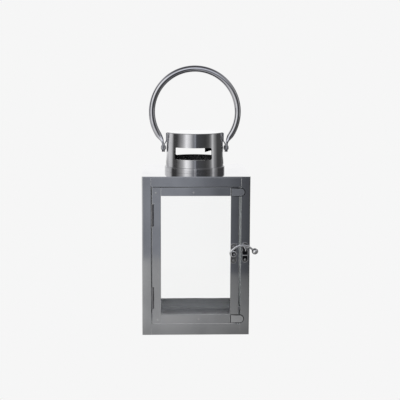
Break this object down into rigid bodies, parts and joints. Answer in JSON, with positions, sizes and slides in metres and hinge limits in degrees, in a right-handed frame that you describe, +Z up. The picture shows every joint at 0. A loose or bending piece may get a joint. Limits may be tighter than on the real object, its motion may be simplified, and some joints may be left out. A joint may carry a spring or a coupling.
{
  "type": "candle lantern",
  "caption": "Square glazed steel candle lantern with hinged front door, hook latch, slotted round chimney and ring bail.",
  "frame": {"origin": "centre of the case's base, on the surface it stands on", "axes": "+Z up, front with the door towards -Y, +X to the right seen from the front"},
  "size_m": [0.1183, 0.1173, 0.2748],
  "materials": {
    "case_steel": "nickel-grey satin",
    "polished_steel": "polished nickel grey",
    "mirror_plate": "mirror polished",
    "cast_steel": "tumbled casting",
    "hinge_steel": "rolled strip",
    "clear_glass": "clear float glass"
  },
  "bodies": {
    "case": {"bail_ear_left": "polished_steel", "bail_ear_right": "polished_steel", "bail_rivet_left": "polished_steel", "bail_rivet_right": "polished_steel", "bottom_rail_back": "case_steel", "bottom_rail_front": "case_steel", "bottom_rail_left": "case_steel", "bottom_rail_right": "case_steel", "catch_plate": "cast_steel", "catch_plate_rivets": "cast_steel", "catch_staple": "cast_steel", "chimney_collar": "polished_steel", "chimney_lid": "mirror_plate", "chimney_tube": "polished_steel", "corner_post_back_left": "case_steel", "corner_post_back_right": "case_steel", "corner_post_front_left": "case_steel", "corner_post_front_right": "case_steel", "floor_plate": "mirror_plate", "glass_back": "clear_glass", "glass_clips_back": "case_steel", "glass_clips_left": "case_steel", "glass_clips_right": "case_steel", "glass_left": "clear_glass", "glass_right": "clear_glass", "hinge_leaf_frame_lower": "hinge_steel", "hinge_leaf_frame_upper": "hinge_steel", "hinge_pin_lower": "hinge_steel", "hinge_pin_upper": "hinge_steel", "roof_plate": "mirror_plate", "top_rail_back": "case_steel", "top_rail_front": "case_steel", "top_rail_left": "case_steel", "top_rail_right": "case_steel"},
    "door": {"door_glass": "clear_glass", "door_glass_clips": "case_steel", "door_rail_bottom": "case_steel", "door_rail_top": "case_steel", "door_stile_left": "case_steel", "door_stile_right": "case_steel", "door_stop_tab_bottom": "case_steel", "door_stop_tab_top": "case_steel", "hinge_leaf_door_lower": "hinge_steel", "hinge_leaf_door_upper": "hinge_steel", "latch_backplate": "cast_steel", "latch_pivot": "cast_steel", "latch_plate_rivets": "cast_steel"},
    "hook": {"latch_hook": "cast_steel"},
    "bail": {"bail_ring": "polished_steel"}
  },
  "joints": [
    {"name": "door_swing", "type": "hinge", "parent": "case", "child": "door", "pos_m": [-0.0445, -0.0552, 0.082], "axis": [0, 0, -1], "range_deg": [0, 170]},
    {"name": "hook_swing", "type": "hinge", "parent": "door", "child": "hook", "pos_m": [0.03835, -0.0585, 0.0855], "axis": [0, -1, 0], "range_deg": [-20, 100]},
    {"name": "bail_swing", "type": "hinge", "parent": "case", "child": "bail", "pos_m": [0, 0, 0.1886], "axis": [1, 0, 0], "range_deg": [-105, 105]}
  ]
}
